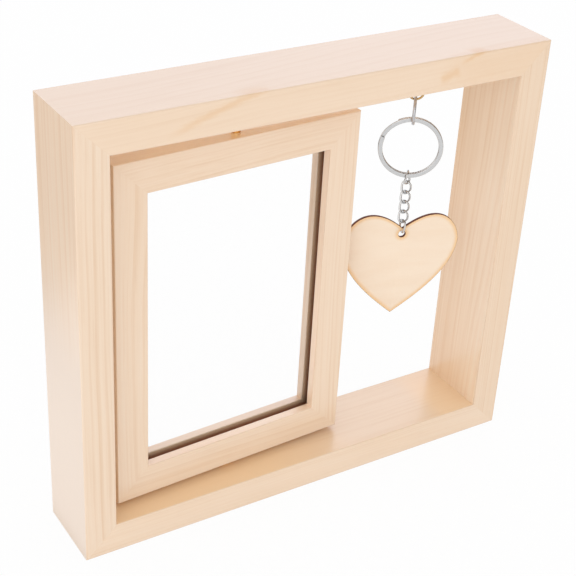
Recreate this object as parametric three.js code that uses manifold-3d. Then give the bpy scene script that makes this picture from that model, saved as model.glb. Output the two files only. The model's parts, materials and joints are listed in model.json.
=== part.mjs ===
// Revolving photo frame: a deep mitred wooden frame that carries a two-sided photo leaf
// turning on two pivot pins, and a key ring with a chain and a wooden heart tag hanging beside it.
// Millimetres, +Z up, +Y to the back. The origin is the centre of the base.

import * as THREE from 'three';
import { mergeVertices } from 'three/addons/utils/BufferGeometryUtils.js';
import Module from 'manifold-3d';

const wasm = await Module();
wasm.setup();

// Photo leaf: sized from the print that it holds
const photoWidth = 102;
const photoHeight = 152;
const photoGap = 0.6;
const photoSlotWidth = 1.6;
const photoSlotMargin = 1;
const sideOverlap = 5.8;
const endOverlap = 7.2;
const paneThickness = 1.5;
const paneClearance = 0.2;
const paneEdgeClearance = 0.6;
const leafLip = 4.5;
const leafFace = 15.5;
const leafTurn = 2.86;

// Outer frame boards and the spaces round the leaf
const boardFace = 15;
const frameDepth = 39;
const leafSideGap = 5.1;
const leafBottomGap = 2.4;
const leafTopGap = 9.5;
const glueLine = 0.1;

// Loose tongues hidden in the mitres
const tongueClearance = 0.2;
const outerTongueThickness = 2.5;
const outerTongueReach = 8;
const outerTongueLength = 28;
const leafTongueThickness = 1.5;
const leafTongueReach = 5;
const leafTongueLength = 8;
const leafTongueInset = 4.5;

// Pivot pins and the washer that carries the leaf
const pinRadius = 2;
const pinSeatDepth = 8;
const pinReach = 6.4;
const pinEndClearance = 0.3;
const pinSeatClearance = 0.05;
const pinRunningClearance = 0.08;
const washerRadius = 3.75;
const washerClearance = 0.2;

// Screw eye
const eyeWire = 1;
const eyeLoopRadius = 3.5;
const eyeDrop = 7.4;
const eyeScrewDepth = 10;
const eyeScrewClearance = 0.15;
const eyeEndClearance = 0.3;

// Connector ring, split ring and chain
const hangTurn = -32;
const hangClearance = 0.2;
const connectorTurn = 52;
const connectorWire = 1;
const connectorWidth = 1.4;
const connectorRadius = 6.4;
const splitOuterRadius = 15;
const splitBand = 2.1;
const splitCoil = 0.85;
const splitCoilGap = 0.3;
const splitJogAngle = 40;
const splitEndGap = 0.75;
const splitEndAngle = 160;
const chainLinks = 6;
const chainTurn = -83;
const linkWire = 1;
const linkInnerLength = 5.3;
const linkSideClearance = 0.6;
const crossTurn = 90;

// Heart tag
const tagHalfWidth = 29.2;
const tagTipDrop = 43.2;
const tagWaistDrop = 4;
const tagThickness = 1.5;
const tagHoleRadius = 1.75;
const tagBridge = 1.2;
const tagLobeSlope = 38.6;
const tagLobeHandle = 27;
const tagShoulderHandle = 5.6;
const tagWaistHandle = 14.8;
const tagTipSlope = 37;
const tagTipHandle = 18.6;
const tagTurn = -16.2;
const tagLean = 2.8;
const tagLeftClearance = 3.83;
const tagRightClearance = 15.23;

// Roundness of bores, wires and rings
const boreSides = 24;
const wireSides = 10;
const ringSteps = 40;
const linkSteps = 20;
const splitSteps = 112;
const tagCurveSteps = 14;

// How far a cutter runs past the face that it opens, and the distance at which vertices count as one
const cutOverrun = 1;
const mergeDistance = 1e-4;

// Worked out sizes of the leaf
const rad = THREE.MathUtils.degToRad;
const openingWidth = photoWidth - 2 * sideOverlap;
const openingHeight = photoHeight - 2 * endOverlap;
const leafWidth = openingWidth + 2 * leafFace;
const leafHeight = openingHeight + 2 * leafFace;
const grooveWidth = 2 * paneThickness + photoGap + 2 * paneClearance;
const leafThickness = grooveWidth + 2 * leafLip;
const sideGrooveDepth = sideOverlap + paneEdgeClearance;
const endGrooveDepth = endOverlap + paneEdgeClearance;

// Worked out sizes of the outer frame
const tagSpan = 2 * tagHalfWidth * Math.cos(rad(tagTurn)) + tagThickness * Math.abs(Math.sin(rad(tagTurn)));
const bayWidth = tagLeftClearance + tagSpan + tagRightClearance;
const frameWidth = 2 * boardFace + leafSideGap + leafWidth + bayWidth;
const frameHeight = 2 * boardFace + leafBottomGap + leafHeight + leafTopGap;
const insideLeft = -frameWidth / 2 + boardFace;
const ceiling = frameHeight - boardFace;
const pivotX = insideLeft + leafSideGap + leafWidth / 2;
const leafBottom = boardFace + leafBottomGap;
const leafTop = leafBottom + leafHeight;
const leafMiddle = (leafBottom + leafTop) / 2;
const hangX = pivotX + leafWidth / 2 + tagLeftClearance + tagSpan / 2;

// Heights of the hanging pieces, from the ceiling down
const eyeCentre = ceiling - eyeDrop;
const connectorTop = eyeCentre - eyeLoopRadius + (eyeWire + connectorWire) / 2 + hangClearance;
const connectorCentre = connectorTop - connectorRadius;
const splitInnerRadius = splitOuterRadius - splitBand;
const splitThickness = 2 * splitCoil + splitCoilGap;
const splitInnerTop = connectorCentre - connectorRadius + connectorWire / 2 + hangClearance;
const splitCentre = splitInnerTop - splitInnerRadius;
const linkHalfGap = splitThickness / 2 + linkSideClearance;
const arch = (halfGap, halfThickness) => halfGap - Math.sqrt(halfGap ** 2 - halfThickness ** 2);
const chainTop = splitCentre - splitInnerRadius + arch(linkHalfGap, splitThickness / 2) + hangClearance;
const linkPitch = linkInnerLength - hangClearance;
const chainBottom = chainTop - (chainLinks - 1) * linkPitch - linkInnerLength;
const tagHoleTop = chainBottom + arch(linkHalfGap, tagThickness / 2) + hangClearance;
const tagHoleCentre = tagHoleTop - tagHoleRadius;
const tagCleft = tagHoleRadius + tagBridge;

// Finishes
const finish = (color, roughness, metalness, more) =>
  new THREE.MeshStandardMaterial({ color, roughness, metalness, ...more });
const maple = finish('#ecd3b6', 0.55, 0);
const beech = finish('#d9b48a', 0.6, 0);
const plywood = finish('#f2dcc0', 0.6, 0);
const acrylic = finish('#f4f8fa', 0.05, 0, { transparent: true, opacity: 0.2 });
const brass = finish('#b8924f', 0.3, 1);
const nickel = finish('#c4c5c7', 0.22, 1);

// Solids and meshes
function closed(geometry) {
  geometry.deleteAttribute('normal');
  geometry.deleteAttribute('uv');
  return mergeVertices(geometry, mergeDistance);
}

function solid(geometry) {
  const merged = closed(geometry);
  const vertProperties = Float32Array.from(merged.attributes.position.array);
  const triVerts = Uint32Array.from(merged.index.array);
  return new wasm.Manifold(new wasm.Mesh({ numProp: 3, vertProperties, triVerts }));
}

function geometryOf(body) {
  const shape = body.getMesh();
  const geometry = new THREE.BufferGeometry();
  geometry.setAttribute('position', new THREE.BufferAttribute(shape.vertProperties, 3));
  geometry.setIndex(new THREE.BufferAttribute(shape.triVerts, 1));
  return geometry;
}

function piece(name, geometry, material) {
  const mesh = new THREE.Mesh(geometry, material);
  mesh.name = name;
  return mesh;
}

function cut(geometry, cutters) {
  const body = cutters.reduce((left, cutter) => left.subtract(solid(cutter)), solid(geometry));
  return geometryOf(body);
}

// A box from its size, centred on a point
function block(sizeX, sizeY, sizeZ, x, y, z) {
  return new THREE.BoxGeometry(sizeX, sizeY, sizeZ).translate(x, y, z);
}

// An upright round bar between two heights
function bar(radius, low, high, x) {
  const height = high - low;
  return new THREE.CylinderGeometry(radius, radius, height, boreSides).rotateX(Math.PI / 2)
    .translate(x, 0, (low + high) / 2);
}

// An upright bore whose flats clear a bar of the given radius
function bore(barRadius, clearance, low, high, x) {
  return bar((barRadius + clearance) / Math.cos(Math.PI / boreSides), low, high, x);
}

// An outline in the XZ plane, given thickness along Y and centred on it
function slab(outline, thickness) {
  const geometry = new THREE.ExtrudeGeometry(outline, { depth: thickness, bevelEnabled: false,
    curveSegments: tagCurveSteps });
  return geometry.rotateX(Math.PI / 2).translate(0, thickness / 2, 0);
}

// One mitred member of a rectangular frame, drawn as the top one of a frame centred on the origin
function mitred(length, half, face, thickness) {
  const setBack = glueLine * Math.SQRT1_2;
  const outer = length / 2 - setBack;
  const outline = new THREE.Shape();
  outline.moveTo(-outer, half);
  outline.lineTo(-outer + face, half - face);
  outline.lineTo(outer - face, half - face);
  outline.lineTo(outer, half);
  return slab(outline, thickness);
}

// A tongue across the mitre at one corner: along the mitre's normal, its face and Y
function tongue(reach, thickness, length, cornerX, cornerZ, inset) {
  const slope = Math.sign(cornerX) * Math.sign(cornerZ) * Math.PI / 4;
  const x = cornerX - Math.sign(cornerX) * inset;
  const z = cornerZ - Math.sign(cornerZ) * inset;
  return new THREE.BoxGeometry(reach, length, thickness).rotateY(slope).translate(x, 0, z);
}

const sides = [
  { name: 'left', sign: -1 },
  { name: 'right', sign: 1 },
];
const ends = [
  { name: 'bottom', sign: -1 },
  { name: 'top', sign: 1 },
];

const part = new THREE.Group();

// Outer frame, built about its own centre and lifted onto the base
const outer = new THREE.Group();
outer.position.z = frameHeight / 2;
part.add(outer);

function outerTongue(side, end, extra) {
  return tongue(outerTongueReach + extra, outerTongueThickness + extra, outerTongueLength + extra,
    side.sign * frameWidth / 2, end.sign * frameHeight / 2, boardFace / 2);
}

const toOuter = -frameHeight / 2;
const railCuts = {
  top: [
    bore(pinRadius, pinSeatClearance, ceiling - cutOverrun + toOuter, ceiling + pinSeatDepth + toOuter,
      pivotX),
    bore(eyeWire / 2, eyeScrewClearance, ceiling - cutOverrun + toOuter,
      ceiling + eyeScrewDepth + eyeEndClearance + toOuter, hangX),
  ],
  bottom: [
    bore(pinRadius, pinSeatClearance, boardFace - pinSeatDepth + toOuter, boardFace + cutOverrun + toOuter,
      pivotX),
  ],
};

for (const end of ends) {
  const turn = end.sign > 0 ? 0 : Math.PI;
  const rail = mitred(frameWidth, frameHeight / 2, boardFace, frameDepth).rotateY(turn);
  const slots = sides.map((side) => outerTongue(side, end, 2 * tongueClearance));
  outer.add(piece(`outer_${end.name}_rail`, cut(rail, [...slots, ...railCuts[end.name]]), maple));
}

for (const side of sides) {
  const stile = mitred(frameHeight, frameWidth / 2, boardFace, frameDepth).rotateY(side.sign * Math.PI / 2);
  const slots = ends.map((end) => outerTongue(side, end, 2 * tongueClearance));
  outer.add(piece(`outer_${side.name}_stile`, cut(stile, slots), maple));
  for (const end of ends) {
    outer.add(piece(`outer_tongue_${end.name}_${side.name}`, outerTongue(side, end, 0), beech));
  }
}

// Pivot pins and washer
part.add(piece('top_pivot_pin', bar(pinRadius, leafTop - pinReach, ceiling + pinSeatDepth - pinEndClearance,
  pivotX), brass));
part.add(piece('bottom_pivot_pin', bar(pinRadius, boardFace - pinSeatDepth + pinEndClearance,
  leafBottom + pinReach, pivotX), brass));
const washerDisc = bar(washerRadius, boardFace, leafBottom - washerClearance, pivotX);
const washerHole = bore(pinRadius, pinRunningClearance, boardFace - cutOverrun, leafBottom + cutOverrun,
  pivotX);
part.add(piece('bottom_washer', cut(washerDisc, [washerHole]), brass));

// Photo leaf, built about its own centre and turned on the pivot
const leaf = new THREE.Group();
leaf.position.set(pivotX, 0, leafMiddle);
leaf.rotation.z = rad(leafTurn);
part.add(leaf);

function leafTongue(side, end, extra) {
  return tongue(leafTongueReach + extra, leafTongueThickness + extra, leafTongueLength + extra,
    side.sign * leafWidth / 2, end.sign * leafHeight / 2, leafTongueInset);
}

for (const end of ends) {
  const turn = end.sign > 0 ? 0 : Math.PI;
  const rail = mitred(leafWidth, leafHeight / 2, leafFace, leafThickness).rotateY(turn);
  const groove = block(leafWidth, grooveWidth, 2 * endGrooveDepth, 0, 0, end.sign * openingHeight / 2);
  const slots = sides.map((side) => leafTongue(side, end, 2 * tongueClearance));
  const mouth = end.sign * (leafHeight / 2 + cutOverrun);
  const floor = end.sign * (leafHeight / 2 - pinReach - pinEndClearance);
  const socket = bore(pinRadius, pinRunningClearance, Math.min(floor, mouth), Math.max(floor, mouth), 0);
  leaf.add(piece(`leaf_${end.name}_rail`, cut(rail, [groove, socket, ...slots]), maple));
}

for (const side of sides) {
  const stile = mitred(leafHeight, leafWidth / 2, leafFace, leafThickness).rotateY(side.sign * Math.PI / 2);
  const groove = block(2 * sideGrooveDepth, grooveWidth, leafHeight, side.sign * openingWidth / 2, 0, 0);
  const slots = ends.map((end) => leafTongue(side, end, 2 * tongueClearance));
  if (side.sign > 0) {
    slots.push(block(2 * leafFace, photoSlotWidth, photoHeight + 2 * photoSlotMargin, leafWidth / 2, 0, 0));
  }
  leaf.add(piece(`leaf_${side.name}_stile`, cut(stile, [groove, ...slots]), maple));
  for (const end of ends) {
    leaf.add(piece(`leaf_tongue_${end.name}_${side.name}`, leafTongue(side, end, 0), beech));
  }
}

const paneOffset = (photoGap + paneThickness) / 2;
leaf.add(piece('front_pane', block(photoWidth, paneThickness, photoHeight, 0, -paneOffset, 0), acrylic));
leaf.add(piece('back_pane', block(photoWidth, paneThickness, photoHeight, 0, paneOffset, 0), acrylic));

// Wire ring in the XZ plane, with its wire rolled out to a width along Y
function wireRing(radius, wire, width) {
  return new THREE.TorusGeometry(radius, wire / 2, wireSides, ringSteps).scale(1, 1, width / wire)
    .rotateX(Math.PI / 2);
}

// Hanging group: a height on the plumb line, turned about it
function hanging(height, turn) {
  const group = new THREE.Group();
  group.position.set(hangX, 0, height);
  group.rotation.z = rad(turn);
  part.add(group);
  return group;
}

// Screw eye: a wire loop under the rail with its screw up in the wood
const eyeLoop = solid(wireRing(eyeLoopRadius, eyeWire, eyeWire));
const eyeScrew = solid(bar(eyeWire / 2, eyeLoopRadius, eyeDrop + eyeScrewDepth, 0));
hanging(eyeCentre, hangTurn).add(piece('screw_eye', geometryOf(eyeLoop.add(eyeScrew)), brass));

// Connector ring of flattened wire, across the eye
const connector = closed(wireRing(connectorRadius, connectorWire, connectorWidth));
hanging(connectorCentre, connectorTurn).add(piece('connector_ring', connector, nickel));

// Split ring: a flat strip wound twice, stepping over to the second coil in one short jog
class SplitCoil extends THREE.Curve {
  getPoint(t, target = new THREE.Vector3()) {
    const radius = splitOuterRadius - splitBand / 2;
    const jog = rad(splitJogAngle);
    const sweep = 4 * Math.PI - jog - splitEndGap / radius;
    const angle = t * sweep;
    const step = THREE.MathUtils.smoothstep(angle, 2 * Math.PI - jog, 2 * Math.PI) - 0.5;
    const place = angle + rad(splitEndAngle);
    return target.set(radius * Math.cos(place), step * (splitCoil + splitCoilGap), radius * Math.sin(place));
  }
}

// The strip's section, with its width along the coil's radius
const stripSection = new THREE.Shape();
stripSection.moveTo(-splitCoil / 2, -splitBand / 2);
stripSection.lineTo(splitCoil / 2, -splitBand / 2);
stripSection.lineTo(splitCoil / 2, splitBand / 2);
stripSection.lineTo(-splitCoil / 2, splitBand / 2);
const splitPath = new SplitCoil();
const splitRing = new THREE.ExtrudeGeometry(stripSection, { steps: splitSteps, extrudePath: splitPath });
hanging(splitCentre, hangTurn).add(piece('split_ring', closed(splitRing), nickel));

// One chain link hanging from its inner top: a ring pulled out to a long link and twisted along its length
function chainLink(twist) {
  const radius = linkHalfGap + linkWire / 2;
  const pull = linkInnerLength / 2 - linkHalfGap;
  const half = linkInnerLength / 2 + linkWire;
  const halfStep = Math.PI / linkSteps;
  const link = new THREE.TorusGeometry(radius, linkWire / 2, wireSides, linkSteps).rotateZ(halfStep);
  const places = link.attributes.position;
  const axis = new THREE.Vector3(0, 1, 0);
  const point = new THREE.Vector3();
  for (let i = 0; i < places.count; i += 1) {
    point.fromBufferAttribute(places, i);
    point.y += Math.sign(point.y) * pull;
    point.applyAxisAngle(axis, rad(twist) / 2 * THREE.MathUtils.clamp(point.y / half, -1, 1));
    places.setXYZ(i, point.x, point.y, point.z);
  }
  return closed(link.rotateX(Math.PI / 2).translate(0, 0, -linkInnerLength / 2));
}

// The first link hangs over the band and the last one through the tag. Each lies across its neighbours, so
// its twist takes its foot from the turn that its top needs to the turn that the piece below it needs.
for (let i = 0; i < chainLinks; i += 1) {
  const topTurn = i === 0 ? hangTurn + crossTurn : chainTurn;
  const footTurn = i === chainLinks - 1 ? tagTurn - crossTurn : chainTurn + crossTurn;
  const place = hanging(chainTop - i * linkPitch, (topTurn + footTurn) / 2);
  place.add(piece(`chain_link_${i + 1}`, chainLink(topTurn - footTurn), nickel));
}

// Heart tag: one half runs from the cleft over the lobe to the waist and in to the tip
function heartOutline() {
  const lobeX = tagLobeHandle * Math.cos(rad(tagLobeSlope));
  const lobeZ = tagCleft + tagLobeHandle * Math.sin(rad(tagLobeSlope));
  const tipX = tagTipHandle * Math.cos(rad(tagTipSlope));
  const tipZ = -tagTipDrop + tagTipHandle * Math.sin(rad(tagTipSlope));
  const shoulder = -tagWaistDrop + tagShoulderHandle;
  const flank = -tagWaistDrop - tagWaistHandle;
  const outline = new THREE.Shape();
  outline.moveTo(0, tagCleft);
  outline.bezierCurveTo(-lobeX, lobeZ, -tagHalfWidth, shoulder, -tagHalfWidth, -tagWaistDrop);
  outline.bezierCurveTo(-tagHalfWidth, flank, -tipX, tipZ, 0, -tagTipDrop);
  outline.bezierCurveTo(tipX, tipZ, tagHalfWidth, flank, tagHalfWidth, -tagWaistDrop);
  outline.bezierCurveTo(tagHalfWidth, shoulder, lobeX, lobeZ, 0, tagCleft);
  outline.holes.push(new THREE.Path().absarc(0, 0, tagHoleRadius, 0, 2 * Math.PI, true));
  return outline;
}

const heart = closed(slab(heartOutline(), tagThickness).rotateY(rad(tagLean)));
hanging(tagHoleCentre, tagTurn).add(piece('heart_tag', heart, plywood));

export default part;
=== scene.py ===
"""Revolving photo frame in pale wood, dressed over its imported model.

A deep mitred frame holds a glazed photo leaf on two pivot pins. Beside the leaf hangs a wooden heart
tag on a chain, a split ring and a screw eye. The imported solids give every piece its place; this script
eases their edges, winds the wire pieces, scorches the tag and gives each surface its finish.
"""

import json
import logging
import math
from dataclasses import dataclass, replace
from enum import Enum
from typing import Any, Iterable

import bmesh
import bpy
from mathutils import Euler, Matrix, Vector
from mathutils.geometry import interpolate_bezier


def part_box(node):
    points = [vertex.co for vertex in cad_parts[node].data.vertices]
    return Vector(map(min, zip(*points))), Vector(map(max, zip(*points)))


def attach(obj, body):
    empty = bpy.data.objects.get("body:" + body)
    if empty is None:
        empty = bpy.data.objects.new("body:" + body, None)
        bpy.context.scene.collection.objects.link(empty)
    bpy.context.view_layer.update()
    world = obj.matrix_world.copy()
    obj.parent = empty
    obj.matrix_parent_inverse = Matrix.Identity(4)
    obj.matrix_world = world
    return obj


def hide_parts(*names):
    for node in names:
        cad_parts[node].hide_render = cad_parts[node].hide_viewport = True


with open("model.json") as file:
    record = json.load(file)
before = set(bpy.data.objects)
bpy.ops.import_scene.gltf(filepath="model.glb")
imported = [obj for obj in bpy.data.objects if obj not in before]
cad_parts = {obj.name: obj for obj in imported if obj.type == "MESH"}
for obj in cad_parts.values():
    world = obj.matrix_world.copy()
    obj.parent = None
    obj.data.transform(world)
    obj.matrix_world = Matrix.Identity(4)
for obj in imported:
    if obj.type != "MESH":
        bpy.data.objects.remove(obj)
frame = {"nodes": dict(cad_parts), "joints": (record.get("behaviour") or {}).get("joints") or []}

LOG = logging.getLogger("photo_frame")
MM = 0.001
FULL_TURN = 2 * math.pi
QUARTER_TURN = math.pi / 2
SHARP_CORNER = math.radians(60)
NOISE_MEAN = 0.5
WHITE = (1.0, 1.0, 1.0)

Pair = tuple[float, float]
Triple = tuple[float, float, float]
Colour = Triple
Socket = bpy.types.NodeSocket
Material = bpy.types.Material


def srgb(red: int, green: int, blue: int) -> Colour:
    """Turn a screen colour into the linear one that a shader takes.

    Args:
        red: Red from 0 to 255.
        green: Green from 0 to 255.
        blue: Blue from 0 to 255.

    Returns:
        The linear colour.
    """
    def linear(level: int) -> float:
        """Undo the screen's curve for one channel."""
        share = level / 255
        return share / 12.92 if share <= 0.04045 else ((share + 0.055) / 1.055) ** 2.4

    return linear(red), linear(green), linear(blue)


class Grain(Enum):
    """The way that a board's grain runs."""

    LEVEL = (1.0, 0.0, 0.0)
    UPRIGHT = (0.0, 0.0, 1.0)

    @property
    def run(self) -> Vector:
        """The grain's direction in the frame."""
        return Vector(self.value)


class Side(Enum):
    """The edge face of a board that has a lacquer of its own and colours with painted light and shade, seen
    from the middle of its set.
    """

    INNER = -1.0
    NONE = 0.0
    OUTER = 1.0


class Easing(Enum):
    """What a bevel rounds."""

    EDGES = "EDGES"
    CORNERS = "VERTICES"


@dataclass(frozen=True)
class Layer:
    """One noise of a finish: its cycles for each millimetre, its octaves of finer noise and its weight."""

    pitch: Triple
    detail: float = 2.0
    rough: float = 0.5
    weight: float = 1.0

    def sway(self, noise: "Value") -> "Value":
        """Weigh the noise about its mean."""
        return (noise - NOISE_MEAN) * self.weight


class Value:
    """A number in a shader, whose arithmetic adds Math nodes."""

    def __init__(self, graph: "Graph", socket: Socket) -> None:
        """Hold the output that carries the number, and the graph that new nodes go into."""
        self.graph = graph
        self.socket = socket

    def __add__(self, other: "Value | float") -> "Value":
        """Add."""
        return self.graph.math("ADD", self, other)

    def __radd__(self, other: float) -> "Value":
        """Add to a plain number."""
        return self.graph.math("ADD", other, self)

    def __sub__(self, other: "Value | float") -> "Value":
        """Subtract."""
        return self.graph.math("SUBTRACT", self, other)

    def __rsub__(self, other: float) -> "Value":
        """Subtract from a plain number."""
        return self.graph.math("SUBTRACT", other, self)

    def __mul__(self, other: "Value | float") -> "Value":
        """Multiply."""
        return self.graph.math("MULTIPLY", self, other)

    def __rmul__(self, other: float) -> "Value":
        """Multiply a plain number."""
        return self.graph.math("MULTIPLY", other, self)

    def __truediv__(self, other: "Value | float") -> "Value":
        """Divide."""
        return self.graph.math("DIVIDE", self, other)

    def __rtruediv__(self, other: float) -> "Value":
        """Divide a plain number."""
        return self.graph.math("DIVIDE", other, self)

    def __pow__(self, other: "Value | float") -> "Value":
        """Raise to a power."""
        return self.graph.math("POWER", self, other)


class Graph:
    """A node tree with one way to add any node."""

    def __init__(self, tree: bpy.types.NodeTree) -> None:
        """Empty a node tree and start to fill it."""
        self.tree = tree
        tree.nodes.clear()

    def add(self, kind: str, settings: dict[str, Any] | None = None,
            sockets: dict[str | int, Any] | None = None) -> bpy.types.Node:
        """Add a node, set it up, and then set or link its sockets.

        Args:
            kind: The node's type.
            settings: Its properties, with a ramp's stops under the name stops.
            sockets: Values or links for its inputs, by name or number.

        Returns:
            The new node.
        """
        node = self.tree.nodes.new(kind)
        for name, setting in (settings or {}).items():
            if name == "stops":
                self._set_stops(node.color_ramp, setting)
            else:
                setattr(node, name, setting)
        for name, given in (sockets or {}).items():
            target = node.inputs[name]
            source = given.socket if isinstance(given, Value) else given
            if isinstance(source, Socket):
                self.tree.links.new(source, target)
            elif target.type == "RGBA" and len(source) == 3:
                target.default_value = (*source, 1.0)
            else:
                target.default_value = source
        return node

    @staticmethod
    def _set_stops(ramp: bpy.types.ColorRamp, stops: list[tuple[float, Colour]]) -> None:
        """Give a ramp its stops.

        Args:
            ramp: The ramp to fill.
            stops: Places from 0 to 1 with their colours.
        """
        while len(ramp.elements) < len(stops):
            ramp.elements.new(1.0)
        for element, (place, colour) in zip(ramp.elements, stops):
            element.position = place
            element.color = (*colour, 1.0)

    def math(self, operation: str, *operands: Value | float) -> Value:
        """Add a Math node on some values or links and give its result."""
        node = self.add("ShaderNodeMath", {"operation": operation}, dict(enumerate(operands)))
        return Value(self, node.outputs[0])

    def clamped(self, given: Value) -> Value:
        """Hold a value between 0 and 1."""
        return Value(self, self.add("ShaderNodeClamp", {}, {0: given}).outputs[0])

    def step(self, given: Value, low: float, high: float) -> Value:
        """Rise smoothly from 0 at one value to 1 at another.

        Args:
            given: The value to read.
            low: Where the rise starts.
            high: Where it ends.

        Returns:
            The share of the rise.
        """
        node = self.add("ShaderNodeMapRange", {"interpolation_type": "SMOOTHSTEP"},
                        {"Value": given, "From Min": low, "From Max": high})
        return Value(self, node.outputs[0])

    def vector(self, operation: str, first: Any, second: Any) -> Socket:
        """Add a Vector Math node on two vectors or links and give the vector that comes out."""
        return self.add("ShaderNodeVectorMath", {"operation": operation}, {0: first, 1: second}).outputs[0]

    def blend(self, share: Value, first: Any, second: Any) -> Socket:
        """Mix a share of the second colour or link into the first."""
        sockets = {0: share, 6: first, 7: second}
        return self.add("ShaderNodeMix", {"data_type": "RGBA"}, sockets).outputs[2]

    def noise(self, place: Socket, layer: Layer) -> Value:
        """Add a noise stretched along each axis.

        Args:
            place: Where on the piece, in millimetres.
            layer: The noise's pitch and octaves.

        Returns:
            The noise, from 0 to 1 about its mean.
        """
        stretched = self.vector("MULTIPLY", place, layer.pitch)
        sockets = {"Vector": stretched, "Scale": 1.0, "Detail": layer.detail, "Roughness": layer.rough}
        return Value(self, self.add("ShaderNodeTexNoise", {}, sockets).outputs[0])

    def place(self, turn: Euler = Euler(), shift: Triple = (0, 0, 0)) -> Socket:
        """Give the place on the piece in millimetres.

        Args:
            turn: A turn about the frame's origin.
            shift: A shift in millimetres after the turn.

        Returns:
            The place as a vector.
        """
        own = self.add("ShaderNodeTexCoord").outputs["Object"]
        sockets = {"Vector": own, "Location": shift, "Rotation": turn, "Scale": (1 / MM,) * 3}
        return self.add("ShaderNodeMapping", {}, sockets).outputs[0]

    def carried(self, name: str) -> Value:
        """Read a number that the piece's mesh carries."""
        return Value(self, self.add("ShaderNodeAttribute", {"attribute_name": name}).outputs["Fac"])

    def surface(self, sockets: dict[str, Any], height: Value | None = None, relief: float = 0.0) -> None:
        """End the tree in a principled surface.

        Args:
            sockets: Values or links for the surface.
            height: The relief's height, from 0 to 1.
            relief: The relief's full depth in metres.
        """
        if height is not None:
            bump = self.add("ShaderNodeBump", {}, {"Strength": 1.0, "Distance": relief, "Height": height})
            sockets = {**sockets, "Normal": bump.outputs[0]}
        shader = self.add("ShaderNodeBsdfPrincipled", {}, sockets)
        self.add("ShaderNodeOutputMaterial", {}, {"Surface": shader.outputs[0]})


def new_material(name: str) -> tuple[Material, Graph]:
    """Make an empty material.

    Args:
        name: The material's name.

    Returns:
        The material and the graph of its nodes.
    """
    material = bpy.data.materials.new(name)
    material.use_nodes = True
    return material, Graph(material.node_tree)


class Finish:
    """What a surface is made of and how it was worked."""

    def material(self, name: str) -> Material:
        """Make the finish's material.

        Args:
            name: The material's name.

        Returns:
            The material.
        """
        material, graph = new_material(name)
        self.draw(graph)
        return material

    def draw(self, graph: Graph) -> None:
        """Draw the finish into an empty graph."""
        raise NotImplementedError


@dataclass(frozen=True)
class Streak:
    """Streak or patch of another tone that slants across a board and dies out behind its front. On some edge
    faces it is painted light and shade rather than a tone of the wood.

    Its ends are places across and up the frame. They and its other lengths are in millimetres.
    """

    RAGGED = Layer((0.25, 0.25, 0.7), 3.0, 0.6)
    ENDS_FADE_FROM = 0.55
    DEPTH_FADES_FROM = 0.2

    start: Pair
    end: Pair
    width: float
    tone_strength: float
    arch: float = 0.0
    front: float = -19.5
    depth: float = 9.0

    def share(self, graph: Graph) -> Value:
        """Work out how strongly the streak shows.

        Args:
            graph: The graph of the board's wood.

        Returns:
            The share of the streak's tone.
        """
        start, end = Vector(self.start), Vector(self.end)
        centre = (start + end) / 2
        half = (end - start).length / 2
        slope = math.atan2(end.y - start.y, end.x - start.x)
        own = graph.place()
        moved = graph.vector("SUBTRACT", own, (centre.x, self.front, centre.y))
        turned = graph.add("ShaderNodeMapping", {}, {"Vector": moved, "Rotation": Euler((0, slope, 0))})
        parts = graph.add("ShaderNodeSeparateXYZ", {}, {0: turned.outputs[0]})
        along, depth, above = (Value(graph, output) for output in parts.outputs)
        off = graph.math("ABSOLUTE", above - (1 - (along / half) ** 2) * self.arch)
        ragged = off + (graph.noise(own, self.RAGGED) - NOISE_MEAN) * self.width
        line = 1 - graph.step(ragged, 0.0, self.width)
        ends = 1 - graph.step(graph.math("ABSOLUTE", along), self.ENDS_FADE_FROM * half, half)
        near = 1 - graph.step(depth, self.DEPTH_FADES_FROM * self.depth, self.depth)
        return line * ends * near * self.tone_strength


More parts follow.
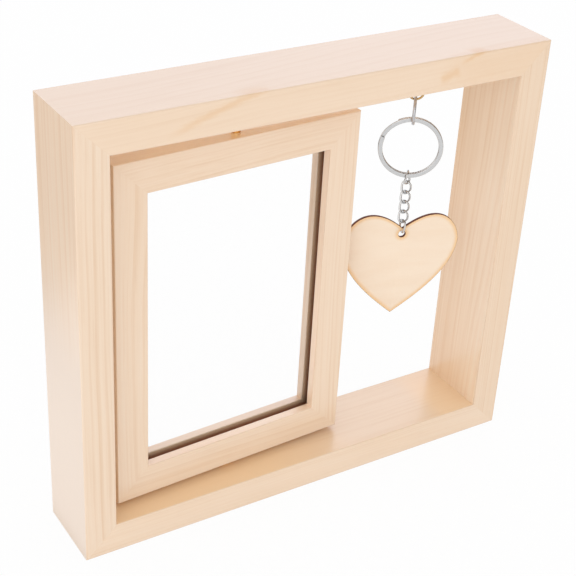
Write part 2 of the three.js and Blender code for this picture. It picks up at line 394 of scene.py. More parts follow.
@dataclass(frozen=True)
class WoodFinish(Finish):
    """Sanded pale wood under clear lacquer, cut from a log whose rings cross the board.

    Its lengths are in millimetres, but for the relief. One side of the board may have its own lacquer and
    painted light and shade in its colours, and the board may darken from front to back as painted shade.
    """

    WANDER = Layer((0.014, 0.014, 0.005))
    STREAK = Layer((0.9, 0.9, 0.012), 3.0, 0.6, weight=0.75)
    FIBRE = Layer((5.0, 5.0, 0.06), 2.0, 0.6, weight=0.3)
    CLOUD = Layer((0.05, 0.05, 0.012), weight=0.55)
    FLECK = Layer((2.4, 2.4, 0.16), 1.0, weight=0.25)
    FLECK_RISE = (0.68, 0.8)
    UNEVEN_PITCH = 0.16
    UNEVEN_RINGS = 2.4
    LATE_RISE = (0.3, 0.92)
    LATE_FALL = (0.93, 1.0)
    LATE_MEAN = 0.2
    FAINTEST_YEAR = 0.25
    LIGHT_TONE = 0.1
    MIDDLE_TONE = 0.45
    DARK_TONE = 0.95
    SHADED_DEPTH = (-18.0, 18.0)
    FIBRE_RELIEF = 0.7
    SIDE_FILM = 1.8
    BRIGHTEST = 0.97

    grain: Grain
    pith: Pair
    tilt: Pair = (0.0, 0.0)
    along: float = 0.0
    ring: float = 2.0
    figure: float = 0.6
    lines: float = 0.3
    shade: float = 0.0
    stray: float = 9.0
    rough: Pair = (0.46, 0.16)
    shine: float = 0.3
    lacquer: float = 0.8
    blur: float = 0.16
    film: float = 1.5
    relief: float = 0.015 * MM
    light: Colour = srgb(246, 226, 204)
    middle: Colour = srgb(241, 215, 188)
    dark: Colour = srgb(222, 184, 145)
    amber: Colour = srgb(232, 184, 112)
    streaks: tuple[Streak, ...] = ()
    side: Side = Side.NONE
    painted_lighting_tone: Colour = WHITE
    side_blur: float = 0.1
    painted_lighting_streaks: tuple[Streak, ...] = ()

    def draw(self, graph: Graph) -> None:
        """Draw the rings, streaks, fibres and flecks under the lacquer, and the painted shade from front to
        back.

        Args:
            graph: The material's graph.
        """
        lie = Matrix.Rotation(-QUARTER_TURN, 3, "Y") if self.grain is Grain.LEVEL else Matrix.Identity(3)
        lean = Euler((math.radians(self.tilt[0]), math.radians(self.tilt[1]), 0)).to_matrix()
        log = graph.place((lean @ lie).to_euler(), (*self.pith, self.along))
        strayed = self._strayed(graph, log)
        late, strength = self._rings(graph, strayed)
        streak = graph.noise(strayed, self.STREAK)
        fibre = graph.noise(strayed, self.FIBRE)
        cloud = graph.noise(log, self.CLOUD)
        drawn = (late * strength - self.LATE_MEAN) * self.lines + self.STREAK.sway(streak) \
            + self.FIBRE.sway(fibre) + self.CLOUD.sway(cloud)
        depth = Value(graph, graph.add("ShaderNodeSeparateXYZ", {}, {0: graph.place()}).outputs[1])
        # Painted shade: the colour darkens from the board's front to its back.
        shaded = graph.step(depth, *self.SHADED_DEPTH) * self.shade
        tone = drawn * self.figure + self.MIDDLE_TONE + shaded
        stops = [(self.LIGHT_TONE, self.light), (self.MIDDLE_TONE, self.middle), (self.DARK_TONE, self.dark)]
        colour = graph.add("ShaderNodeValToRGB", {"stops": stops}, {0: tone})
        fleck = graph.step(graph.noise(strayed, self.FLECK), *self.FLECK_RISE)
        toned = graph.blend(fleck * self.FLECK.weight * self.figure, colour.outputs[0], self.dark)
        # On an edge-face copy these streaks are painted light and shade.
        for band in self.streaks:
            toned = graph.blend(band.share(graph), toned, self.amber)
        graph.surface({
            "Base Color": toned,
            "Roughness": self.rough[0] + streak * self.rough[1],
            "Specular IOR Level": self.shine,
            "Coat Weight": self.lacquer,
            "Coat Roughness": self.blur,
            "Coat IOR": self.film,
        }, fibre * self.FIBRE_RELIEF + late * (1 - self.FIBRE_RELIEF), self.relief)

    def _strayed(self, graph: Graph, log: Socket) -> Socket:
        """Let the grain stray from straight.

        Args:
            graph: The material's graph.
            log: The place in the log.

        Returns:
            The place in a log with wavering grain.
        """
        wander = graph.noise(log, self.WANDER).socket.node.outputs["Color"]
        swing = graph.vector("SUBTRACT", wander, (NOISE_MEAN,) * 3)
        shift = graph.vector("MULTIPLY", swing, (self.stray, self.stray, 0))
        return graph.vector("ADD", log, shift)

    def _rings(self, graph: Graph, strayed: Socket) -> tuple[Value, Value]:
        """Draw the year rings about the pith.

        Args:
            graph: The material's graph.
            strayed: The place in the log.

        Returns:
            Where each year's late wood lies, and how dark that year is.
        """
        across = graph.vector("MULTIPLY", strayed, (1, 1, 0))
        reach = graph.add("ShaderNodeVectorMath", {"operation": "LENGTH"}, {0: across})
        radius = Value(graph, reach.outputs[1])
        uneven = graph.add("ShaderNodeTexNoise", {"noise_dimensions": "1D"},
                           {"W": radius * self.UNEVEN_PITCH, "Scale": 1.0, "Detail": 1.0})
        count = radius / self.ring + Value(graph, uneven.outputs[0]) * self.UNEVEN_RINGS
        phase = graph.math("FRACT", count)
        number = graph.math("FLOOR", count)
        year = graph.add("ShaderNodeTexWhiteNoise", {"noise_dimensions": "1D"}, {"W": number})
        late = graph.step(phase, *self.LATE_RISE) * (1 - graph.step(phase, *self.LATE_FALL))
        return late, self.FAINTEST_YEAR + (1 - self.FAINTEST_YEAR) * Value(graph, year.outputs[0])

    def on_side(self) -> "WoodFinish":
        """Copy the finish for the named side, which keeps a thick, unworn lacquer and whose colours carry
        painted light and shade.

        Returns:
            The finish with its colours shifted by painted light and shade, and its lacquer glossier.
        """
        # The tone that shifts these colours is painted light and shade on the edge faces.
        shifted = {}
        for name in ("light", "middle", "dark"):
            pairs = zip(getattr(self, name), self.painted_lighting_tone)
            shifted[name] = tuple(min(level * share, self.BRIGHTEST) for level, share in pairs)
        return replace(self, lacquer=1.0, blur=self.side_blur, film=self.SIDE_FILM,
                       streaks=self.painted_lighting_streaks, **shifted)


@dataclass(frozen=True)
class GrooveFinish(Finish):
    """Bare sawn wood inside a groove, coloured with painted light at the lip and painted shade that browns
    it with the depth behind the lip.
    """

    SAWN = Layer((1.5, 1.5, 1.5), 3.0, 0.6, weight=0.6)

    outward: Triple
    lip: float
    reach: Pair = (0.6, 3.0)
    rough: Pair = (0.6, 0.2)
    shine: float = 0.15
    relief: float = 0.03 * MM
    # Painted light: the warm colour at the lip stands in for light bounced into the groove. Painted shade:
    # the brown further in stands in for the groove's shadow.
    shallow_painted_light: Colour = srgb(255, 208, 166)
    deep_painted_shade: Colour = srgb(204, 128, 90)

    def draw(self, graph: Graph) -> None:
        """Draw the sawn wood, with painted shade that browns it inwards.

        Args:
            graph: The material's graph.
        """
        place = graph.place()
        along = graph.add("ShaderNodeVectorMath", {"operation": "DOT_PRODUCT"}, {0: place, 1: self.outward})
        sawn = graph.noise(place, self.SAWN)
        depth = Value(graph, along.outputs[1]) - self.lip + self.SAWN.sway(sawn)
        # Painted shade: the colour browns from the lip inwards.
        graph.surface({
            "Base Color": graph.blend(graph.step(depth, *self.reach), self.shallow_painted_light, self.deep_painted_shade),
            "Roughness": self.rough[0] + sawn * self.rough[1],
            "Specular IOR Level": self.shine,
        }, sawn, self.relief)


@dataclass(frozen=True)
class PlywoodFinish(Finish):
    """Pale rotary-cut plywood face, browned where the cut has heated it."""

    FIGURE = Layer((0.03, 0.06, 0.16), 3.0, 0.55, weight=1.5)
    FIGURE_FROM = 0.42
    FIBRE = Layer((0.08, 4.0, 4.0), 2.0, 0.6, weight=0.5)
    RAGGED = Layer((0.8, 0.8, 0.8), weight=0.5)

    face: Colour = srgb(249, 229, 206)
    figure: Colour = srgb(244, 219, 192)
    amber: Colour = srgb(243, 196, 134)
    brown: Colour = srgb(168, 110, 64)
    halo: float = 2.6
    scorch: float = 0.18
    tone_strength: float = 0.8
    rough: Pair = (0.5, 0.14)
    shine: float = 0.35
    relief: float = 0.02 * MM

    def draw(self, graph: Graph) -> None:
        """Draw the face, which reads the tag's distances to its rim and its hole.

        Args:
            graph: The material's graph.
        """
        log = graph.place()
        figure = graph.noise(log, self.FIGURE)
        fibre = graph.noise(log, self.FIBRE)
        share = (figure - self.FIGURE_FROM) * self.FIGURE.weight + self.FIBRE.sway(fibre)
        colour = graph.blend(graph.clamped(share), self.face, self.figure)
        near = graph.math("MINIMUM", graph.carried(HeartTag.RIM), graph.carried(HeartTag.HOLE))
        ragged = near + self.RAGGED.sway(graph.noise(log, self.RAGGED))
        for reach, tone in ((self.halo, self.amber), (self.scorch, self.brown)):
            colour = graph.blend((1 - graph.step(ragged, 0.0, reach)) * self.tone_strength, colour, tone)
        graph.surface({
            "Base Color": colour,
            "Roughness": self.rough[0] + fibre * self.rough[1],
            "Specular IOR Level": self.shine,
        }, fibre, self.relief)


@dataclass(frozen=True)
class ScorchFinish(Finish):
    """Edge of the tag, burnt brown by the cut, with the plies showing faintly."""

    SOOT = Layer((0.5, 0.5, 0.5), 4.0, 0.65, weight=0.7)
    PLY_WEIGHT = 0.3
    BURNT_BELOW = 0.15

    burnt: Colour = srgb(90, 38, 26)
    lighter: Colour = srgb(136, 74, 48)
    plies: int = 3
    rough: Pair = (0.66, 0.2)
    relief: float = 0.04 * MM

    def draw(self, graph: Graph) -> None:
        """Draw the soot and the plies.

        Args:
            graph: The material's graph.
        """
        soot = graph.noise(graph.place(), self.SOOT)
        ply = graph.math("PINGPONG", graph.carried(HeartTag.DEPTH) * self.plies, 0.5) * 2
        share = soot * self.SOOT.weight + ply * self.PLY_WEIGHT - self.BURNT_BELOW
        graph.surface({
            "Base Color": graph.blend(graph.clamped(share), self.burnt, self.lighter),
            "Roughness": self.rough[0] + soot * self.rough[1],
        }, soot, self.relief)


@dataclass(frozen=True)
class MetalFinish(Finish):
    """Plated or plain metal wire with fine rubbed marks."""

    RUBBED = Layer((1.2, 1.2, 1.2), 4.0, 0.65, weight=1.6)
    RUBBED_FROM = 0.35
    SCRATCH = Layer((9.0, 9.0, 0.8), 2.0, 0.6, weight=0.12)

    bright: Colour
    dull: Colour
    rough: float
    relief: float = 0.001 * MM

    def draw(self, graph: Graph) -> None:
        """Draw the rubbed marks and the fine scratches.

        Args:
            graph: The material's graph.
        """
        place = graph.place()
        rubbed = (graph.noise(place, self.RUBBED) - self.RUBBED_FROM) * self.RUBBED.weight
        scratch = graph.noise(place, self.SCRATCH)
        graph.surface({
            "Base Color": graph.blend(graph.clamped(rubbed), self.bright, self.dull),
            "Metallic": 1.0,
            "Roughness": self.rough + self.SCRATCH.sway(scratch),
        }, scratch, self.relief)


@dataclass(frozen=True)
class AcrylicFinish(Finish):
    """Clear polished sheet with a little dust."""

    CLOUD = Layer((0.03, 0.03, 0.03), 3.0)
    SPECKS = Layer((1.6, 1.6, 1.6))
    SPECKS_RISE = (0.68, 0.8)

    tint: Colour = srgb(236, 244, 245)
    cover: float = 0.003
    dust: float = 0.01
    rough: Pair = (0.04, 0.06)

    def draw(self, graph: Graph) -> None:
        """Draw the clear sheet and its dust.

        Args:
            graph: The material's graph.
        """
        place = graph.place()
        cloud = graph.noise(place, self.CLOUD)
        specks = graph.step(graph.noise(place, self.SPECKS), *self.SPECKS_RISE)
        graph.surface({
            "Base Color": self.tint,
            "Roughness": self.rough[0] + cloud * self.rough[1],
            "Alpha": self.cover + specks * cloud * self.dust,
        })


def stand(name: str, data: bpy.types.ID) -> bpy.types.Object:
    """Put a mesh, a lamp or a camera into the scene as an object.

    Args:
        name: The object's name.
        data: What it shows.

    Returns:
        The object.
    """
    made = bpy.data.objects.new(name, data)
    bpy.context.scene.collection.objects.link(made)
    return made


class Piece:
    """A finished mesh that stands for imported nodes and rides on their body."""

    MERGE_GAP = 1e-7

    def __init__(self, name: str, body: str, slot: str) -> None:
        """Start an empty mesh.

        Args:
            name: The piece's name.
            body: The body that it rides on.
            slot: The record's material slot; it is stored but not used.
        """
        self.name = name
        self.body = body
        self.slot = slot
        self.mesh = bmesh.new()

    def finish(self, nodes: Iterable[str], materials: Iterable[Material],
               crease: float = 40.0, level: bool = False) -> None:
        """Turn the mesh into an object in its place.

        Args:
            nodes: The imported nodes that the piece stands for.
            materials: Its materials, in the order of the faces' numbers.
            crease: The angle in degrees past which an edge stays sharp.
            level: Whether flat faces keep their shading flat beside eased edges.
        """
        data = bpy.data.meshes.new(self.name)
        self.mesh.to_mesh(data)
        self.mesh.free()
        data.shade_smooth()
        data.set_sharp_from_angle(angle=math.radians(crease))
        for material in materials:
            data.materials.append(material)
        made = stand(self.name, data)
        if level:
            weighted = made.modifiers.new("level_faces", "WEIGHTED_NORMAL")
            weighted.keep_sharp = True
        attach(made, self.body)
        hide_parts(*nodes)
        LOG.info("%s: %d faces on %s", self.name, len(data.polygons), self.body)

    def everything(self) -> list[Any]:
        """List the faces, edges and corners made so far."""
        return self.mesh.faces[:] + self.mesh.edges[:] + self.mesh.verts[:]

    def rectangle(self, spread: Matrix) -> list[bmesh.types.BMVert]:
        """Start with a unit square, stretched into its place, and give its corners."""
        return bmesh.ops.create_grid(self.mesh, x_segments=1, y_segments=1, size=0.5, matrix=spread)["verts"]

    def ease(self, geom: list[Any], offset: float, segments: int,
             easing: Easing = Easing.EDGES) -> list[bmesh.types.BMFace]:
        """Round some edges or corners.

        Args:
            geom: The edges or corners.
            offset: How far the rounding reaches.
            segments: In how many steps it goes.
            easing: Whether edges or corners are rounded.

        Returns:
            The new faces.
        """
        return bmesh.ops.bevel(self.mesh, geom=geom, offset=offset, offset_type="OFFSET",
                               affect=easing.value, segments=segments, profile=0.5, material=-1,
                               clamp_overlap=True)["faces"]

    def tidy(self) -> None:
        """Merge what meets and turn every face outwards."""
        bmesh.ops.remove_doubles(self.mesh, verts=self.mesh.verts, dist=self.MERGE_GAP)
        bmesh.ops.recalc_face_normals(self.mesh, faces=self.mesh.faces)

    def set_in_place(self, place: Vector, turn: float = 0.0, lean: float = 0.0) -> None:
        """Move the whole mesh to its place in the frame.

        Args:
            place: Where its own middle goes.
            turn: Its turn about the upright, in degrees.
            lean: Its lean to one side before that turn, in degrees.
        """
        matrix = Matrix.Translation(place) @ Matrix.Rotation(math.radians(turn), 4, "Z") \
            @ Matrix.Rotation(math.radians(lean), 4, "Y")
        bmesh.ops.transform(self.mesh, matrix=matrix, verts=self.mesh.verts)


def middle(node: str) -> Vector:
    """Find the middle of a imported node's box."""
    low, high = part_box(node)
    return (low + high) / 2


def joint_place(name: str) -> Vector:
    """Find where a packed joint turns."""
    return Vector(next(joint["pos_m"] for joint in frame["joints"] if joint["name"] == name))


@dataclass
class BoardSet:
    """Mitred boards with eased edges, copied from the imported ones."""

    MERGE_GAP = 1e-6
    FLAT = math.radians(0.5)
    FACING = 0.9
    SLANTED = (0.6, 0.8)
    PARALLEL = 0.999
    GROOVE_SLACK = 0.05 * MM

    body: str
    slot: str
    prefix: str
    arris: float
    turn: float
    finishes: dict[str, WoodFinish]
    groove_half: float = 0.0
    set_back: float = 0.1 * MM * math.sqrt(0.5)
    segments: int = 4

    def build(self) -> None:
        """Make and dress every board of the set."""
        turned = Matrix.Rotation(math.radians(self.turn), 3, "Z")
        nodes = {board: f"{self.prefix}_{board}" for board in self.finishes}
        centre = sum((middle(node) for node in nodes.values()), Vector()) / len(nodes)
        for board, finish in self.finishes.items():
            run = turned @ finish.grain.run
            sideways = run.cross(turned @ Vector((0, 1, 0)))
            outward = sideways * math.copysign(1.0, (middle(nodes[board]) - centre).dot(sideways))
            self._board(nodes[board], run, outward, finish)

    def _board(self, node: str, run: Vector, outward: Vector, finish: WoodFinish) -> None:
        """Copy one board, merge its flat faces, close its mitres and ease its long edges.

        Args:
            node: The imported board.
            run: The way that its long edges go.
            outward: The way from the set's middle to the board.
            finish: Its wood.
        """
        piece = Piece(f"{node}_board", self.body, self.slot)
        board = piece.mesh
        board.from_mesh(frame["nodes"][node].data)
        bmesh.ops.remove_doubles(board, verts=board.verts, dist=self.MERGE_GAP)
        bmesh.ops.dissolve_limit(board, angle_limit=self.FLAT, verts=board.verts, edges=board.edges)
        self._close_mitres(board, run, middle(node))
        piece.ease([edge for edge in board.edges if self._is_arris(edge, run)], self.arris, self.segments)
        materials = [finish.material(f"{node}_wood"), finish.on_side().material(f"{node}_gap_wood")]
        # Faces of the named side take the copy with painted light and shade.
        for face in board.faces:
            if face.normal.dot(outward) * finish.side.value > self.FACING:
                face.material_index = 1
        if self.groove_half:
            self._mark_groove(board, run.cross(outward))
            lip = min(vertex.co.dot(outward) for vertex in board.verts)
            materials.append(GrooveFinish(tuple(outward), lip / MM).material(f"{node}_groove"))
        piece.finish([node], materials, level=True)

    def _close_mitres(self, board: bmesh.types.BMesh, run: Vector, centre: Vector) -> None:
        """Push both mitred ends out by the width of the glue line, so that the boards meet.

        Args:
            board: The board's mesh.
            run: The way that its long edges go.
            centre: The board's middle.
        """
        least, most = self.SLANTED
        slanted = [face for face in board.faces if least < abs(face.normal.dot(run)) < most]
        for vertex in {vertex for face in slanted for vertex in face.verts}:
            vertex.co += run * math.copysign(self.set_back, (vertex.co - centre).dot(run))

    def _mark_groove(self, board: bmesh.types.BMesh, across: Vector) -> None:
        """Give the faces inside the groove, which lie near the set's middle plane, the third material.

        Args:
            board: The board's mesh.
            across: The way through the board from front to back.
        """
        pivot = joint_place("leaf_revolve")
        limit = self.groove_half + self.GROOVE_SLACK
        for face in board.faces:
            if all(abs((vertex.co - pivot).dot(across)) < limit for vertex in face.verts):
                face.material_index = 2

    def _is_arris(self, edge: bmesh.types.BMEdge, run: Vector) -> bool:
        """Tell whether an edge is an outside corner along the board.

        Args:
            edge: The edge.
            run: The way that the board's long edges go.

        Returns:
            Whether it gets eased.
        """
        if not edge.is_manifold or not edge.is_convex:
            return False
        along = (edge.verts[1].co - edge.verts[0].co).normalized()
        return edge.calc_face_angle() > SHARP_CORNER and abs(along.dot(run)) > self.PARALLEL


@dataclass
class KeptPieces:
    """Packed panes and hidden tongues, whose shapes stay as they are."""

    acrylic: Material
    beech: Material

    def build(self) -> None:
        """Dress the panes and the tongues."""
        for node in ("front_pane", "back_pane"):
            self._dress(node, self.acrylic)
        for frame_part in ("outer", "leaf"):
            for end in ("top", "bottom"):
                for side in ("left", "right"):
                    self._dress(f"{frame_part}_tongue_{end}_{side}", self.beech)

    @staticmethod
    def _dress(node: str, material: Material) -> None:
        """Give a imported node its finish.

        Args:
            node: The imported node.
            material: Its finish.
        """
        data = frame["nodes"][node].data
        data.materials.clear()
        data.materials.append(material)
        LOG.info("%s: kept, finished as %s", node, material.name)


@dataclass
class Pivots:
    """Turned brass pins at both ends of the leaf, and the washer under it."""

    brass: Material
    sides: int = 64
    chamfer: float = 0.35 * MM
    chamfer_steps: int = 3
    washer_chamfer: float = 0.25 * MM
    washer_bore: float = 2.08 * MM

    def build(self) -> None:
        """Make and dress the pins and the washer."""
        for node in ("top_pivot_pin", "bottom_pivot_pin"):
            self._pin(node)
        self._washer("bottom_washer")

    def _pin(self, node: str) -> None:
        """Turn one pin with chamfered ends.

        Args:
            node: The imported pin.
        """
        low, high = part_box(node)
        size = high - low
        piece = Piece(f"{node}_turned", "outer_frame", "brass")
        bmesh.ops.create_cone(piece.mesh, cap_ends=True, segments=self.sides, radius1=size.x / 2,
                              radius2=size.x / 2, depth=size.z)
        ends = [edge for edge in piece.mesh.edges
                if abs(edge.verts[0].co.z - edge.verts[1].co.z) < size.z / 2]
        piece.ease(ends, self.chamfer, self.chamfer_steps)
        piece.set_in_place(middle(node))
        piece.finish([node], [self.brass], level=True)

    def _washer(self, node: str) -> None:
        """Spin the washer's section round the pin.

        Args:
            node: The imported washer.
        """
        low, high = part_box(node)
        size = high - low
        piece = Piece(f"{node}_turned", "outer_frame", "brass")
        section = Matrix.Translation(((size.x / 2 + self.washer_bore) / 2, 0, 0)) \
            @ Matrix.Rotation(QUARTER_TURN, 4, "X") \
            @ Matrix.Diagonal((size.x / 2 - self.washer_bore, size.z, 1, 1))
        piece.ease(piece.rectangle(section), self.washer_chamfer, self.chamfer_steps, Easing.CORNERS)
        bmesh.ops.delete(piece.mesh, geom=piece.mesh.faces[:], context="FACES_ONLY")
        bmesh.ops.spin(piece.mesh, geom=piece.mesh.verts[:] + piece.mesh.edges[:], cent=(0, 0, 0),
                       axis=(0, 0, 1), angle=FULL_TURN, steps=self.sides, use_merge=True)
        piece.tidy()
        piece.set_in_place(middle(node))
        piece.finish([node], [self.brass])


@dataclass
class WireWork:
    """Bent wire pieces of the hanger: the screw eye and the connector ring."""

    brass: Material
    nickel: Material
    turn: float = -32.0
    ring_turn: float = 52.0
    sides: int = 20
    steps: int = 72
    bend_steps: int = 12
    eye_wire: float = 1.0 * MM
    eye_radius: float = 3.5 * MM
    eye_start: float = 20.0
    eye_gap: float = 12.0
    ring_wire: float = 1.0 * MM
    ring_width: float = 1.4 * MM
    ring_radius: float = 6.4 * MM
    ring_gap: float = 1.2

    def build(self) -> None:
        """Make and dress the screw eye and the connector ring."""
        self._screw_eye("screw_eye")
        self._connector("connector_ring")

    def _section(self, piece: Piece, wire: float, place: Matrix) -> list[Any]:
        """Start a wire with a round face.

        Args:
            piece: The piece to start.
            wire: The wire's thickness.
            place: Where its end lies, with the wire running along the place's Z axis.

        Returns:
            The face with its edges and corners.
        """
        bmesh.ops.create_circle(piece.mesh, cap_ends=True, segments=self.sides, radius=wire / 2,
                                matrix=place)
        return piece.everything()

    def _screw_eye(self, node: str) -> None:
        """Bend the screw eye: down its shank, out to one side and round the loop.

        Args:
            node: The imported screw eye.
        """
        low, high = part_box(node)
        hang = (low + high) / 2
        centre = low.z + self.eye_radius + self.eye_wire / 2
        start = math.radians(self.eye_start)
        bend = self.eye_radius * math.sin(start) / (1 - math.sin(start))
        knee = (self.eye_radius + bend) * math.cos(start)
        piece = Piece(f"{node}_bent", "outer_frame", "brass")
        top = self._section(piece, self.eye_wire, Matrix.Translation((0, 0, high.z - centre)))
        down = bmesh.ops.extrude_face_region(piece.mesh, geom=top)["geom"]
        foot = [part for part in down if isinstance(part, bmesh.types.BMVert)]
        bmesh.ops.translate(piece.mesh, vec=(0, 0, knee - high.z + centre), verts=foot)
        turned = bmesh.ops.spin(piece.mesh, geom=down, cent=(-bend, 0, knee), axis=(0, 1, 0),
                                angle=QUARTER_TURN - start, steps=self.bend_steps)["geom_last"]
        sweep = FULL_TURN - start - math.radians(self.eye_gap)
        bmesh.ops.spin(piece.mesh, geom=turned, cent=(0, 0, 0), axis=(0, -1, 0), angle=sweep,
                       steps=self.steps)
        piece.tidy()
        piece.set_in_place(Vector((hang.x, hang.y, centre)), self.turn)
        piece.finish([node], [self.brass])

    def _connector(self, node: str) -> None:
        """Wind the connector ring, with a hairline where its ends meet.

        Args:
            node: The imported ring.
        """
        piece = Piece(f"{node}_wound", "connector", "nickel_plate")
        place = Matrix.Translation((self.ring_radius, 0, 0)) \
            @ Matrix.Diagonal((1, self.ring_width / self.ring_wire, 1, 1))
        start = self._section(piece, self.ring_wire, place)
        bmesh.ops.spin(piece.mesh, geom=start, cent=(0, 0, 0), axis=(0, -1, 0),
                       angle=FULL_TURN - math.radians(self.ring_gap), steps=self.steps)
        piece.tidy()
        piece.set_in_place(middle(node), self.ring_turn)
        piece.finish([node], [self.nickel])


@dataclass
class SplitRing:
    """Flat strip wound twice, stepping over to its second coil in one jog."""

    nickel: Material
    turn: float = -32.0
    radius: float = 13.95 * MM
    band: float = 2.1 * MM
    strip: float = 0.85 * MM
    coil_gap: float = 0.3 * MM
    ease: float = 0.41 * MM
    ease_steps: int = 5
    jog: float = 40.0
    end_angle: float = 160.0
    end_gap: float = 0.75 * MM
    coil_steps: int = 112
    jog_steps: int = 20

    def build(self) -> None:
        """Make and dress the ring."""
        node = "split_ring"
        piece = Piece(f"{node}_wound", "key_ring", "nickel_plate")
        lift = self.strip + self.coil_gap
        section = Matrix.Rotation(-math.radians(self.end_angle), 4, "Y") \
            @ Matrix.Translation((self.radius, -lift / 2, 0)) \
            @ Matrix.Diagonal((self.band, self.strip, 1, 1))
        piece.ease(piece.rectangle(section), self.ease, self.ease_steps, Easing.CORNERS)
        jog = math.radians(self.jog)
        coil = FULL_TURN - jog
        level = [0.0] * self.coil_steps
        rise = [self._eased(step / self.jog_steps) * lift for step in range(self.jog_steps + 1)]
        climbs = [after - before for before, after in zip(rise, rise[1:])]
        end = self._wind(piece, piece.everything(), coil, level)
        end = self._wind(piece, end, jog, climbs)
        self._wind(piece, end, coil - self.end_gap / self.radius, level)
        piece.tidy()
        piece.set_in_place(self._centre(node), self.turn)
        piece.finish([node], [self.nickel])

    def _centre(self, node: str) -> Vector:
        """Find the ring's centre, under the connector and at the ring's own height.

        Args:
            node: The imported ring.

        Returns:
            The centre.
        """
        hang = middle("connector_ring")
        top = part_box(node)[1].z
        return Vector((hang.x, hang.y, top - self.radius - self.band / 2))

    @staticmethod
    def _eased(share: float) -> float:
        """Ease a share from 0 to 1 at both ends."""
        return share * share * (3 - 2 * share)

    @staticmethod
    def _wind(piece: Piece, end: list[Any], angle: float, climbs: list[float]) -> list[Any]:
        """Carry the strip's end round by small steps.

        Args:
            piece: The ring.
            end: The strip's end face with its edges and corners.
            angle: How far to go in all.
            climbs: How far to step over along the axis at each step.

        Returns:
            The strip's new end.
        """
        for climb in climbs:
            end = bmesh.ops.spin(piece.mesh, geom=end, cent=(0, 0, 0), axis=(0, -1, 0),
                                 angle=angle / len(climbs), steps=1, dvec=(0, climb, 0))["geom_last"]
        return end


@dataclass
class Chain:
    """Six twisted links, broad side on at their waists and each lying across its neighbours."""

    ACROSS = 90.0

    nickel: Material
    links: int = 6
    ring_turn: float = -32.0
    turn: float = -83.0
    tag_turn: float = -16.2
    wire: float = 1.0 * MM
    half_gap: float = 1.6 * MM
    length: float = 5.3 * MM
    sides: int = 16
    steps: int = 48
    crease: float = 80.0

    def build(self) -> None:
        """Make and dress the links."""
        for number in range(1, self.links + 1):
            top = self.ring_turn + self.ACROSS if number == 1 else self.turn
            foot = self.tag_turn - self.ACROSS if number == self.links else self.turn + self.ACROSS
            self._link(number, top - foot, (top + foot) / 2)

    def _link(self, number: int, twist: float, turn: float) -> None:
        """Spin a wire ring, pull it long and twist it.

        Args:
            number: The link's number from the top.
            twist: The turn of its foot against its top, in degrees.
            turn: The turn of its waist, in degrees.
        """
        node = f"chain_link_{number}"
        piece = Piece(f"{node}_bent", f"link_{number}", "nickel_plate")
        radius = self.half_gap + self.wire / 2
        start = bmesh.ops.create_circle(piece.mesh, segments=self.sides, radius=self.wire / 2,
                                        matrix=Matrix.Translation((radius, 0, 0)))["verts"]
        bmesh.ops.spin(piece.mesh, geom=start + piece.mesh.edges[:], cent=(0, 0, 0), axis=(0, -1, 0),
                       angle=FULL_TURN, steps=self.steps, use_merge=True)
        piece.tidy()
        pull = self.length / 2 - self.half_gap
        half = self.length / 2 + self.wire
        slack = self.wire / 100
        for vertex in piece.mesh.verts:
            if abs(vertex.co.z) > slack:
                vertex.co.z += math.copysign(pull, vertex.co.z)
            share = vertex.co.z / half
            vertex.co.rotate(Matrix.Rotation(math.radians(twist) / 2 * share, 3, "Z"))
        piece.set_in_place(middle(node), turn)
        piece.finish([node], [self.nickel], self.crease)


